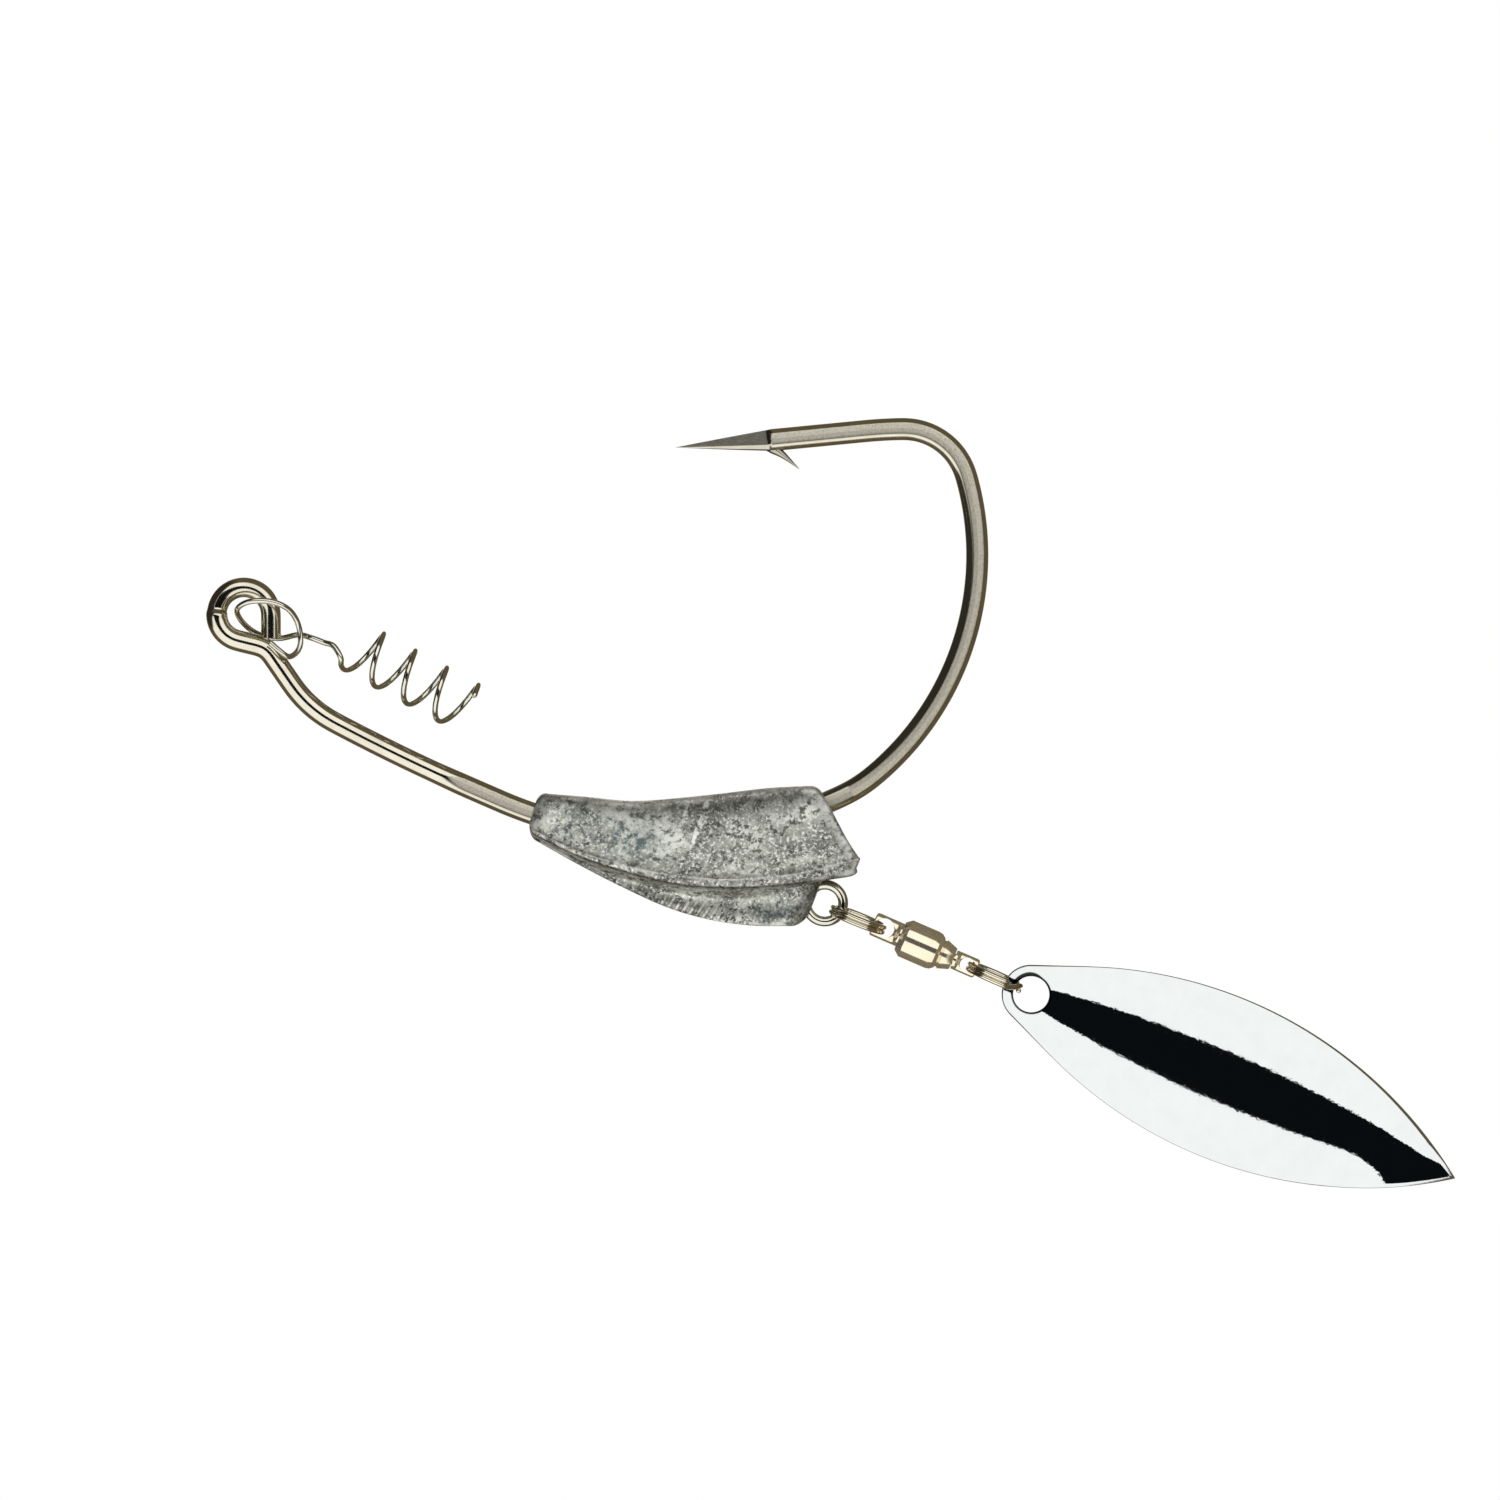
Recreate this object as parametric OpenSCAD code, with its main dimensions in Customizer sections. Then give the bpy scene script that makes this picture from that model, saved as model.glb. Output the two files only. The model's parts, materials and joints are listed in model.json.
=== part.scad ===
// Belly-weighted wide-gap hook with a screw-lock coil and an underspin willow blade.
// It hangs from its line eye: the origin is the middle of that eye, +Z is up, the hook
// lies in the XZ plane and its point is on the +X side.

/* [Hook] */
// Diameter of the hook wire
wire_d = 1.56; // [1.4:0.02:1.6]
// Middle radius of the line eye
eye_r = 2; // [1.9:0.05:2.1]
// Thickness across the forged flats of the bend
forged_t = 1.24; // [1.1:0.02:1.4]
// Height at which the forged flats begin
forged_top = -18.3; // [-20:0.1:-16]
// Length of the ground point
point_len = 7.1; // [6:0.1:8]

/* [Weight] */
// Half width of the weight's top edge
weight_top_w = 1.9; // [1.6:0.1:2.4]
// Half width of the weight at its flared ridge
weight_ridge_w = 3.3; // [3:0.1:4.2]
// Half width of the narrow keel
weight_keel_w = 1.2; // [1:0.1:1.6]
// Middle radius of the eye under the weight
belly_eye_r = 1.4; // [1.3:0.05:1.5]
// Diameter of that eye's wire
belly_wire_d = 0.7; // [0.6:0.02:0.74]

/* [Screw lock] */
// Diameter of the spring wire
spring_d = 0.42; // [0.36:0.02:0.44]
// Middle radius of the coil
coil_r = 1.77; // [1.6:0.01:1.9]
// Advance of the coil for each turn
coil_pitch = 2.74; // [2.6:0.02:2.9]

/* [Swivel] */
// Radius of the swivel's barrel
barrel_r = 1.5; // [1.45:0.01:1.6]
// Thickness of the two lugs
lug_t = 0.7; // [0.6:0.05:0.8]
// Radius of the rotating shaft
shaft_r = 0.45; // [0.4:0.01:0.46]
// Diameter of a bearing ball
ball_d = 0.5; // [0.46:0.01:0.52]
// Number of bearing balls
ball_count = 8; // [6:1:8]
// Middle radius of a split ring
split_r = 2.1; // [2.05:0.01:2.15]
// Diameter of a split ring's wire
split_d = 0.4; // [0.34:0.01:0.42]

/* [Blade] */
// Radius of the two arcs that make the leaf outline
leaf_r = 33.3; // [32:0.1:35]
// Half width of the leaf
leaf_w = 6.1; // [5.8:0.1:6.4]
// Sheet thickness
blade_t = 0.45; // [0.35:0.05:0.5]
// Radius of the cup across the leaf
cup_r = 13; // [12:0.5:16]
// Radius of the cup along the leaf
bow_r = 110; // [80:5:160]
// Radius of the blade's hole
blade_hole_r = 1.35; // [1.3:0.01:1.4]

/* [Hidden] */
$fn = 48;
wire_r = wire_d / 2;
cast_gap = 0.01;
run_gap = 0.05;
lap_len = 0.03;
lap_step = 0.004;

// The hook is one run of wire. Each step is [length, 0] for a straight
// or [radius, turn] for an arc, and a positive turn bends to the left.
eye_end = 1.2;
eye_heading = 23.5;
hook_steps = [
    [eye_end, 0], [eye_r, 256.5], [1.7, 0], [1.5, -42], [2.7, 0], [9, 27.5],
    [150, 4.5], [2, 0], [31, 49], [11, 14], [21.5, 66.5], [4.9, 75],
    [37, 4.5], [14.1 - point_len, 0]
];

tip_r = 0.03;
point_lean = 4;
barb_t = 0.44;
barb_outline = [[0.2, 0.2], [-0.4, 0.55], [-0.7, 1.05], [-1.95, 2.35], [0.25, 0.62], [0.8, 0.2]];
eye_close_at = [-0.65, -3];
eye_close_heading = 238;

// Swivel chain, from the eye under the weight down
chain_x = -2.45;
belly_eye_z = -48.56;
front_ring_z = -51.33;
front_hole_z = -53.4;
front_hole_r = 0.7;
barrel_z = -54.71;
barrel_len = 4.35;
cavity_r = 1.05;
cavity_floor = -2.95;
washer_t = 0.15;
ball_ring_r = 0.74;
touch_gap = 0.01;
head_bottom = cavity_floor + washer_t + ball_d + 3 * touch_gap;
head_top = -1.6;
rear_hole_z = -60.2;
rear_hole_r = 0.55;
rear_ring_z = -62.43;
blade_hole_z = -65.5;
leaf_z = -81.2;
blade_end_r = 2.2;
blade_neck = 3.2;
neck_slant = 22.1;
blade_hang = 3;
blade_aside = 0.1;

// Weight: six lines run from nose to tail along each side, as [x, z] points
rail_top = [
    [-3.7, -25.4], [-2.4, -28.7], [-1.3, -32.1], [0.1, -34.9], [1.9, -38.1], [3.7, -41.2], [5, -43.9]
];
rail_ridge = [
    [-6.1, -25.9], [-6.25, -29.9], [-5.8, -33.9], [-4.9, -38], [-3.4, -41.9], [-1.4, -45.6], [1.3, -49.8]
];
rail_under = [
    [-6.4, -26], [-6.6, -30.1], [-6.25, -34.1], [-5.5, -38.1], [-4.1, -41.9], [-2.4, -45.3], [-0.1, -49.5]
];
rail_hollow = [
    [-6.5, -26.1], [-6.7, -30.2], [-6.45, -34.1], [-5.8, -38], [-4.6, -41.6], [-3, -44.6], [-1.3, -47.5]
];
rail_flank = [
    [-6.6, -26.2], [-6.85, -30.2], [-6.7, -34.1], [-6.2, -37.9], [-5.2, -41.3], [-4, -44.2], [-2.8, -47]
];
rail_keel = [
    [-6.75, -26.4], [-7.15, -30.3], [-7.4, -34.1], [-7.45, -37.8], [-7.05, -41], [-6.2, -44.1], [-5, -47.2]
];
// Half width along the weight, as a share of its greatest half width
rail_width = [0.6, 0.76, 0.88, 0.96, 1, 0.97, 0.86];
weight_rings = 24;

// Screw lock: the loop round the eye's side, then the straight leg, as [x, y, z] points
loop_route = [
    [-1.1, -1.35, -2.6], [-1.4, -1.35, -3.6], [-1.5, -1, -4.4], [-0.8, -0.5, -4.8], [0.1, -0.2, -4.6],
    [1.1, -0.3, -3.9], [1.7, -0.9, -3], [1.8, -1.35, -1.9], [1.5, -1.4, -0.8], [0.9, -1.15, 0.2],
    [0.1, -0.4, 0.6], [-0.6, 0.5, -0.2], [-0.9, 1.2, -1.5], [-0.6, 1.35, -3], [0.3, 0.6, -4.4],
    [0.42, 0.1, -5.9], [0.45, -0.2, -6.6]
];
coil_turns_end = 4.18;
coil_origin = [1.02, 0.3, -10.01];
coil_axis = [-0.084, -0.174, -0.981];
coil_up = [0.996, 0, -0.085];
coil_front = [0.015, -0.985, 0.173];
coil_sides = 24;

// Point at t, 0 to 1, on a smooth curve through a list of points
function part_of(list, t) = min(floor(t * (len(list) - 1)), len(list) - 2);
function near(list, i) = list[max(0, min(len(list) - 1, i))];
function blend4(a, b, c, d, u) =
    (2 * b + (c - a) * u + (2 * a - 5 * b + 4 * c - d) * u * u + (3 * b - a - 3 * c + d) * u * u * u) / 2;
function along(list, t) =
    let (i = part_of(list, t), u = t * (len(list) - 1) - i)
    blend4(near(list, i - 1), near(list, i), near(list, i + 1), near(list, i + 2), u);
function unit(v) = v / norm(v);

// A run of wire in the XY plane that starts at the origin along +X. Every other
// step is finer by a hair and laps into its neighbours, so that the run is one solid.
// Its children stand at the far end.
module wire_run(steps, extra = 0, i = 0) {
    if (i == len(steps)) {
        children();
    } else {
        size = steps[i][0];
        turn = steps[i][1];
        side = turn < 0 ? -1 : 1;
        lap = i % 2 == 0 ? lap_len : 0;
        r = wire_r + extra + (i % 2 == 0 ? 0 : lap_step);
        if (turn == 0) {
            translate([-lap, 0, 0]) rotate([0, 90, 0]) cylinder(h = size + 2 * lap, r = r);
            translate([size, 0, 0]) wire_run(steps, extra, i + 1) children();
        } else {
            lap_turn = lap / size * 180 / PI;
            translate([0, side * size, 0]) {
                mirror([0, turn < 0 ? 1 : 0, 0]) rotate([0, 0, -90])
                    rotate_extrude(angle = abs(turn) + 2 * lap_turn, start = -lap_turn, $fn = 160)
                        translate([size, 0]) circle(r = r);
                rotate([0, 0, turn]) translate([0, -side * size, 0])
                    wire_run(steps, extra, i + 1) children();
            }
        }
    }
}

// Lays a flat drawing into the hook's plane
module in_hook_plane() {
    rotate([90, 0, 0]) children();
}

// The two slabs of space beside the forged flats
module beside_flats(extra = 0) {
    slab = 4;
    for (side = [-1, 1])
        translate([15, side * (forged_t / 2 + extra + slab / 2), forged_top - 25])
            cube([60, slab, 50], center = true);
}

// The whole run of hook wire, from the cut end at the eye to the point
module hook_wire(extra) {
    difference() {
        in_hook_plane() rotate([0, 0, eye_heading - 90]) translate([eye_r, 0, 0]) rotate([0, 0, 90])
            translate([-eye_end, 0, 0]) wire_run(hook_steps, extra) ground_point();
        beside_flats(extra);
    }
}

// Tapered point along +X that leans to the outer side, with the barb raised from its inner side
module ground_point() {
    rotate([0, 0, -point_lean]) translate([-lap_len, 0, 0]) rotate([0, 90, 0])
        cylinder(h = point_len, r1 = wire_r, r2 = tip_r);
    translate([0, 0, -barb_t / 2]) linear_extrude(barb_t) polygon(barb_outline);
}

// Keeps the eye's cut end a hair off the shank that it closes on
module eye_clearance() {
    in_hook_plane() translate(eye_close_at) rotate([0, 0, eye_close_heading])
        cube([2.6, 0.2, 3], center = true);
}

module hook() {
    color([0.36, 0.33, 0.28]) difference() {
        hook_wire(0);
        eye_clearance();
    }
}

// One ring of the weight's skin: [x, half width, z] from its top edge to its keel
function weight_section(t) =
    let (
        share = along(rail_width, t),
        top = along(rail_top, t),
        ridge = along(rail_ridge, t),
        under = along(rail_under, t),
        hollow = along(rail_hollow, t),
        flank = along(rail_flank, t),
        keel = along(rail_keel, t)
    )
    [
        for (s = [
            [top, weight_top_w * share - 0.35],
            [top * 0.95 + ridge * 0.05, weight_top_w * share],
            [top * 0.86 + ridge * 0.14, weight_top_w * share + 0.08],
            [top * 0.65 + ridge * 0.35, weight_top_w * share + 0.1],
            [top * 0.4 + ridge * 0.6, weight_top_w * share * 0.7 + weight_ridge_w * share * 0.3],
            [top * 0.16 + ridge * 0.84, weight_top_w * share * 0.3 + weight_ridge_w * share * 0.7],
            [ridge, weight_ridge_w * share],
            [under, weight_ridge_w * share - 0.25],
            [hollow, (weight_keel_w + weight_ridge_w) * share / 2],
            [flank, weight_keel_w * share + 0.15],
            [flank * 0.3 + keel * 0.7, weight_keel_w * share],
            [keel, weight_keel_w * share - 0.45]
        ]) [s[0][0], s[1], s[0][1]]
    ];

// A solid between the rows of a skin and their mirror image in the hook's plane
module mirrored_skin(rows) {
    n = len(rows);
    m = len(rows[0]);
    points = [for (side = [1, -1]) for (row = rows) for (p = row) [p[0], side * p[1], p[2]]];
    half = n * m;
    near_side = [for (i = [0:n - 2]) for (j = [0:m - 2])
        let (a = i * m + j, b = a + m)
        each [[a, a + 1, b + 1], [a, b + 1, b]]];
    far_side = [for (f = near_side) [half + f[0], half + f[2], half + f[1]]];
    rims = [for (i = [0:n - 2]) for (j = [0, m - 1])
        let (a = i * m + j, b = a + m, quad = [a, b, half + b, half + a])
        j == 0 ? quad : [quad[3], quad[2], quad[1], quad[0]]];
    caps = [for (j = [0:m - 2]) for (i = [0, n - 1])
        let (a = i * m + j, quad = [a, half + a, half + a + 1, a + 1])
        i == 0 ? quad : [quad[3], quad[2], quad[1], quad[0]]];
    polyhedron(points, concat(near_side, far_side, rims, caps));
}

module keel_weight() {
    color([0.55, 0.56, 0.55]) difference() {
        mirrored_skin([for (i = [0:weight_rings]) weight_section(i / weight_rings)]);
        hook_wire(cast_gap);
        belly_eye_wire(cast_gap);
    }
}

// The eye under the weight, with the shank that is cast into the lead
module belly_eye_wire(extra) {
    r = belly_wire_d / 2 + extra;
    translate([chain_x, 0, belly_eye_z]) {
        rotate([90, 0, 0]) rotate_extrude() translate([belly_eye_r, 0]) circle(r = r);
        rotate([0, 20, 0]) translate([0, 0, belly_eye_r]) cylinder(h = 3.2 + extra, r = r);
    }
}

module belly_eye() {
    color([0.78, 0.77, 0.72]) belly_eye_wire(0);
}

// Tube of wire along a list of points
module wire_sweep(route, r, sides) {
    n = len(route);
    tangents = [for (i = [0:n - 1]) unit(near(route, i + 1) - near(route, i - 1))];
    start = unit(cross(tangents[0], [0.3, 0.2, 1]));
    // The side vector is carried along, so that the tube doesn't twist
    sidesway = [for (i = 0, v = start; i < n; i = i + 1,
        v = i < n ? unit(v - (v * tangents[i]) * tangents[i]) : v) v];
    points = [for (i = [0:n - 1]) for (k = [0:sides - 1])
        let (a = 360 * k / sides, other = cross(tangents[i], sidesway[i]))
        route[i] + r * (cos(a) * sidesway[i] + sin(a) * other)];
    skin = [for (i = [0:n - 2]) for (k = [0:sides - 1])
        let (a = i * sides + k, b = i * sides + (k + 1) % sides)
        each [[a, b + sides, b], [a, a + sides, b + sides]]];
    ends = [[for (k = [0:sides - 1]) k], [for (k = [sides - 1:-1:0]) (n - 1) * sides + k]];
    polyhedron(points, concat(skin, ends));
}

function coil_point(turns) =
    let (a = 360 * turns)
    coil_origin + coil_axis * coil_pitch * (turns - 1) + coil_r * (cos(a) * coil_up + sin(a) * coil_front);

module screw_lock() {
    loop_rings = 4 * (len(loop_route) - 1);
    lead_in = concat(loop_route, [for (i = [-2:0]) coil_point(0.5 + i / 10)]);
    loop_part = [for (i = [0:4 * (len(loop_route) + 1)]) along(lead_in, i / (4 * (len(lead_in) - 1)))];
    coil_part = [for (i = [1:coil_sides * (coil_turns_end - 0.4)]) coil_point(0.4 + i / coil_sides)];
    color([0.72, 0.7, 0.64]) wire_sweep(concat(loop_part, coil_part), spring_d / 2, 8);
}

// Two turns of wire side by side, each with the narrow gap of its cut end
module split_ring(z, gap_at) {
    translate([chain_x, 0, z]) difference() {
        rotate([0, 90, 0]) rotate_extrude() translate([split_r, 0]) {
            for (side = [-1, 1])
                translate([0, side * 0.475 * split_d]) circle(r = split_d / 2);
        }
        for (side = [-1, 1])
            rotate([side * gap_at, 0, 0]) translate([side * split_d, split_r, 0])
                cube([2 * split_d, 2 * split_d, 0.08], center = true);
    }
}

module front_split_ring() {
    color([0.72, 0.68, 0.58]) split_ring(front_ring_z, -35);
}

module rear_split_ring() {
    color([0.72, 0.68, 0.58]) split_ring(rear_ring_z, 40);
}

// Flat tab with rounded corners and a cross hole, about the hole's middle
module lug_tab(width, top, bottom, hole_r) {
    difference() {
        intersection() {
            translate([-width / 2, -lug_t / 2, bottom]) cube([width, lug_t, top - bottom]);
            translate([0, lug_t, (top + bottom) / 2]) rotate([90, 0, 0])
                cylinder(h = 2 * lug_t, r = norm([width / 2, (top - bottom) / 2]) - 0.12);
        }
        translate([0, lug_t, 0]) rotate([90, 0, 0]) cylinder(h = 2 * lug_t, r = hole_r);
    }
}

module front_lug() {
    plug_top = barrel_z - 0.02;
    color([0.75, 0.7, 0.55]) translate([chain_x, 0, 0]) {
        translate([0, 0, front_hole_z])
            lug_tab(1.88, 0.92, plug_top - front_hole_z - 0.2, front_hole_r);
        translate([0, 0, plug_top - 1]) cylinder(h = 1, r = cavity_r - touch_gap);
    }
}

module swivel_barrel() {
    neck = shaft_r + run_gap;
    color([0.78, 0.7, 0.5]) translate([chain_x, 0, barrel_z]) rotate_extrude() polygon([
        [cavity_r, 0], [1.15, 0], [barrel_r, -0.45], [barrel_r, -2.7], [1.44, -2.98],
        [1.24, -3.24], [1.12, -3.3], [1.05, -3.36], [1.12, -3.42], [1.16, -3.48],
        [0.88, -barrel_len], [neck, -barrel_len], [neck, cavity_floor], [cavity_r, cavity_floor]
    ]);
}

module race_washer() {
    color([0.7, 0.7, 0.7]) translate([chain_x, 0, barrel_z + cavity_floor]) difference() {
        cylinder(h = washer_t, r = cavity_r - run_gap);
        translate([0, 0, -washer_t]) cylinder(h = 3 * washer_t, r = shaft_r + run_gap);
    }
}

module bearing_ball(i) {
    ball_z = barrel_z + cavity_floor + washer_t + touch_gap + ball_d / 2;
    color([0.8, 0.8, 0.82]) translate([chain_x, 0, ball_z]) rotate([0, 0, i * 360 / ball_count])
        translate([ball_ring_r, 0, 0]) sphere(r = ball_d / 2);
}

module swivel_pin() {
    shoulder = barrel_z - barrel_len - run_gap;
    color([0.76, 0.7, 0.55]) translate([chain_x, 0, 0]) {
        translate([0, 0, barrel_z + head_bottom])
            cylinder(h = head_top - head_bottom, r = cavity_r - 2 * run_gap);
        translate([0, 0, shoulder - 0.1])
            cylinder(h = barrel_z + head_bottom - shoulder + 0.3, r = shaft_r);
        translate([0, 0, rear_hole_z])
            lug_tab(1.5, shoulder - rear_hole_z, -0.82, rear_hole_r);
    }
}

// Outline of the leaf in the XZ plane, drawn about the middle of its hole. Straight sides lead
// from the leaf's two arcs to the round end.
module leaf_prism() {
    widest = leaf_z - blade_hole_z;
    rise = -blade_neck - widest;
    neck_half = sqrt(leaf_r * leaf_r - rise * rise) - leaf_r + leaf_w;
    end_x = (blade_end_r - 0.01) * cos(neck_slant);
    end_y = (blade_end_r - 0.01) * sin(neck_slant);
    rotate([90, 0, 0]) translate([0, 0, -4]) linear_extrude(8) difference() {
        union() {
            intersection() {
                leaf_side(-1, widest);
                leaf_side(1, widest);
                translate([-10, -40]) square([20, 40 - blade_neck]);
            }
            circle(r = blade_end_r);
            polygon([
                [-neck_half, -blade_neck - 0.02], [neck_half, -blade_neck - 0.02],
                [end_x, end_y], [-end_x, end_y]
            ]);
        }
        circle(r = blade_hole_r);
    }
}

module leaf_side(side, widest) {
    translate([side * (leaf_r - leaf_w), widest]) circle(r = leaf_r, $fn = 180);
}

// Shell with one radius across the leaf and a longer one along it, proud towards -Y,
// that passes through the middle of the hole
module cupped_sheet(inset) {
    run = blade_hole_z - leaf_z;
    rise = bow_r - sqrt(bow_r * bow_r - run * run);
    translate([0, bow_r - rise, -run]) rotate([0, 90, 0])
        rotate_extrude($fn = 720) translate([bow_r - cup_r, 0]) circle(r = cup_r - inset, $fn = 180);
}

module willow_blade() {
    color([0.85, 0.87, 0.88]) translate([chain_x - blade_aside, 0, blade_hole_z])
        rotate([blade_hang, 0, 0]) intersection() {
            leaf_prism();
            difference() {
                cupped_sheet(0);
                cupped_sheet(blade_t);
            }
        }
}

hook();
keel_weight();
belly_eye();
screw_lock();
front_split_ring();
front_lug();
swivel_barrel();
race_washer();
for (i = [1:ball_count]) {
    bearing_ball(i);
}
swivel_pin();
rear_split_ring();
willow_blade();
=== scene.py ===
"""The looks of the weighted hook lure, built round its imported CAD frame.

Lengths in the shape sections are in millimetres, in the row frame, and mesh_piece() turns
them into metres.
"""

import json
import math

import bpy
import numpy as np
from mathutils import Matrix, Vector


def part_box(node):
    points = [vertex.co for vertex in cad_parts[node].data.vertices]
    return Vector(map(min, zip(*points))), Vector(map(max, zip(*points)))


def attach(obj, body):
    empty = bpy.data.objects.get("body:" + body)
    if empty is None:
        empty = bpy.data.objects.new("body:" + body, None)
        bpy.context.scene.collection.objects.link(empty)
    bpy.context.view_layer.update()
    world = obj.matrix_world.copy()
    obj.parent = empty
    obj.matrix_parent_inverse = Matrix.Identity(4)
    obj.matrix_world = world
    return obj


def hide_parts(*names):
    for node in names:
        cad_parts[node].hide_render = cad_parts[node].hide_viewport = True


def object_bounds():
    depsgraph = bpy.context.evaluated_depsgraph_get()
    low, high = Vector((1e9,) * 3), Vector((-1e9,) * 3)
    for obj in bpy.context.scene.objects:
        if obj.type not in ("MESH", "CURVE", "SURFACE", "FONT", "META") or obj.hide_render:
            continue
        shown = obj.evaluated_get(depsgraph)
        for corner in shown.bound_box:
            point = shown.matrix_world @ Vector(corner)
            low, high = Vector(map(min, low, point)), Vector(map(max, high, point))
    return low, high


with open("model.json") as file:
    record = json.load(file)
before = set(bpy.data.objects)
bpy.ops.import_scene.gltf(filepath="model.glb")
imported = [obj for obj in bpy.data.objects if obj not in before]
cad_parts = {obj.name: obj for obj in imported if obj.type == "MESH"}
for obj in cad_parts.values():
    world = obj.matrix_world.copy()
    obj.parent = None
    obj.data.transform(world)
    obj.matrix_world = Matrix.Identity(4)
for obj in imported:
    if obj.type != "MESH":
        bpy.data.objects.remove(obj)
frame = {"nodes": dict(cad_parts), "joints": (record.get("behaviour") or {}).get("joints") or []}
cad_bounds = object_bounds()

MM = 0.001


# ---------------------------------------------------------------- frame measures

def box_mm(node):
    """Lowest and highest corner of a CAD node, in millimetres."""
    low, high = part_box(node)
    return np.array(low) / MM, np.array(high) / MM


def joint_mm(name):
    """Place of a joint's axis, in millimetres."""
    for joint in frame["joints"]:
        if joint["name"] == name:
            return np.array(joint["pos_m"]) / MM
    raise KeyError(name)


BELLY_EYE = joint_mm("front_ring_swing")
FRONT_RING = joint_mm("swivel_swing")
REAR_HOLE = joint_mm("rear_ring_swing")
REAR_RING = joint_mm("blade_swing")
CHAIN_X = BELLY_EYE[0]
BARREL_BOTTOM, BARREL_TOP = (corner[2] for corner in box_mm("swivel_barrel"))


# ---------------------------------------------------------------- mesh tools

def mesh_piece(name, points, faces, sharp_deg=38, **attributes):
    """A smooth-shaded mesh object from points in millimetres, with float attributes per point."""
    mesh = bpy.data.meshes.new(name)
    mesh.from_pydata((np.asarray(points, float) * MM).tolist(), [], faces)
    mesh.validate()
    mesh.shade_smooth()
    mesh.set_sharp_from_angle(angle=math.radians(sharp_deg))
    for key, values in attributes.items():
        layer = mesh.attributes.new(key, "FLOAT", "POINT")
        layer.data.foreach_set("value", np.asarray(values, np.float32))
    piece = bpy.data.objects.new(name, mesh)
    bpy.context.scene.collection.objects.link(piece)
    return piece


def skin_faces(rings, sides, joined=False, capped=True):
    """Quads between rings of points; joined runs the last ring into the first, capped shuts the ends."""
    count = rings if joined else rings - 1
    faces = []
    for i in range(count):
        a, b = i * sides, (i + 1) % rings * sides
        for k in range(sides):
            n = (k + 1) % sides
            faces.append((a + k, b + k, b + n, a + n))
    if capped and not joined:
        last = (rings - 1) * sides
        faces.append(tuple(range(sides)))
        faces.append(tuple(last + k for k in reversed(range(sides))))
    return faces


def smoothstep(low, high, x):
    """0 at low and 1 at high, eased between them; low may be the larger one."""
    t = np.clip((np.asarray(x, float) - low) / (high - low), 0, 1)
    return t * t * (3 - 2 * t)


def bump(x, middle, width):
    """1 at middle, falling smoothly to 0 at width to each side."""
    return np.exp(-((np.asarray(x, float) - middle) / width) ** 2 * 2)


def through(points, count):
    """Points on a smooth curve through a short list of points, count to each stretch."""
    p = np.asarray(points, float)
    p = np.vstack([2 * p[0] - p[1], p, 2 * p[-1] - p[-2]])
    out = []
    for i in range(1, len(p) - 2):
        a, b, c, d = p[i - 1:i + 3]
        for u in np.arange(count) / count:
            out.append((2 * b + (c - a) * u + (2 * a - 5 * b + 4 * c - d) * u ** 2
                        + (3 * b - a - 3 * c + d) * u ** 3) / 2)
    out.append(p[-2])
    return np.array(out)


# A direction that no wire starts along
OFF_AXIS = [0.31, 0.2, 0.93]


def carried_frames(path):
    """Side and upward vectors along a path, with no twist of their own."""
    tangents = np.gradient(path, axis=0)
    tangents /= np.linalg.norm(tangents, axis=1)[:, None]
    side = np.cross(tangents[0], OFF_AXIS)
    sides = []
    for t in tangents:
        side = side - side.dot(t) * t
        side /= np.linalg.norm(side)
        sides.append(side)
    sides = np.array(sides)
    return sides, np.cross(tangents, sides)


def tube_points(path, radius, sides):
    """Rings of a round wire along a path; radius is one number or one for each point."""
    right, up = carried_frames(path)
    angle = np.arange(sides) * 2 * math.pi / sides
    radius = np.broadcast_to(radius, len(path))[:, None, None]
    return path[:, None] + radius * (np.cos(angle)[None, :, None] * right[:, None]
                                     + np.sin(angle)[None, :, None] * up[:, None])


# Share of a wire's section area that is left at its cut end
END_SHARE = 0.55


def round_ends(path, radius, reach):
    """Radius along a path whose two cut ends are broken by a small rounding."""
    length = np.concatenate([[0], np.cumsum(np.linalg.norm(np.diff(path, axis=0), axis=1))])
    near = np.minimum(length, length[-1] - length)
    return radius * np.sqrt(np.clip(END_SHARE + (1 - END_SHARE) * near / reach, 0, 1))


def joined_parts(parts):
    """Points and faces of several closed shells as one list each."""
    points, faces, start = [], [], 0
    for part_points, part_faces in parts:
        points.append(np.asarray(part_points, float).reshape(-1, 3))
        faces += [tuple(start + i for i in face) for face in part_faces]
        start += len(points[-1])
    return np.vstack(points), faces


def softened(profile, cut, steps=4):
    """A closed outline whose corners are rounded; cut is how far back each corner is cut."""
    p = np.asarray(profile, float)
    out = []
    for i, corner in enumerate(p):
        before, after = p[i - 1] - corner, p[(i + 1) % len(p)] - corner
        room = min(cut, 0.45 * np.linalg.norm(before), 0.45 * np.linalg.norm(after))
        a = corner + before / np.linalg.norm(before) * room
        b = corner + after / np.linalg.norm(after) * room
        for u in np.linspace(0, 1, steps):
            out.append((1 - u) ** 2 * a + 2 * u * (1 - u) * corner + u ** 2 * b)
    return np.array(out)


def turned(profile, x, segments=112):
    """Rings of a closed (radius, height) outline turned about a vertical axis at x."""
    angle = np.arange(segments) * 2 * math.pi / segments
    r, z = profile[:, 0], profile[:, 1]
    return np.stack([x + np.cos(angle)[:, None] * r, np.sin(angle)[:, None] * r,
                     np.broadcast_to(z, (segments, len(z)))], axis=2)


# ---------------------------------------------------------------- materials

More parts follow.
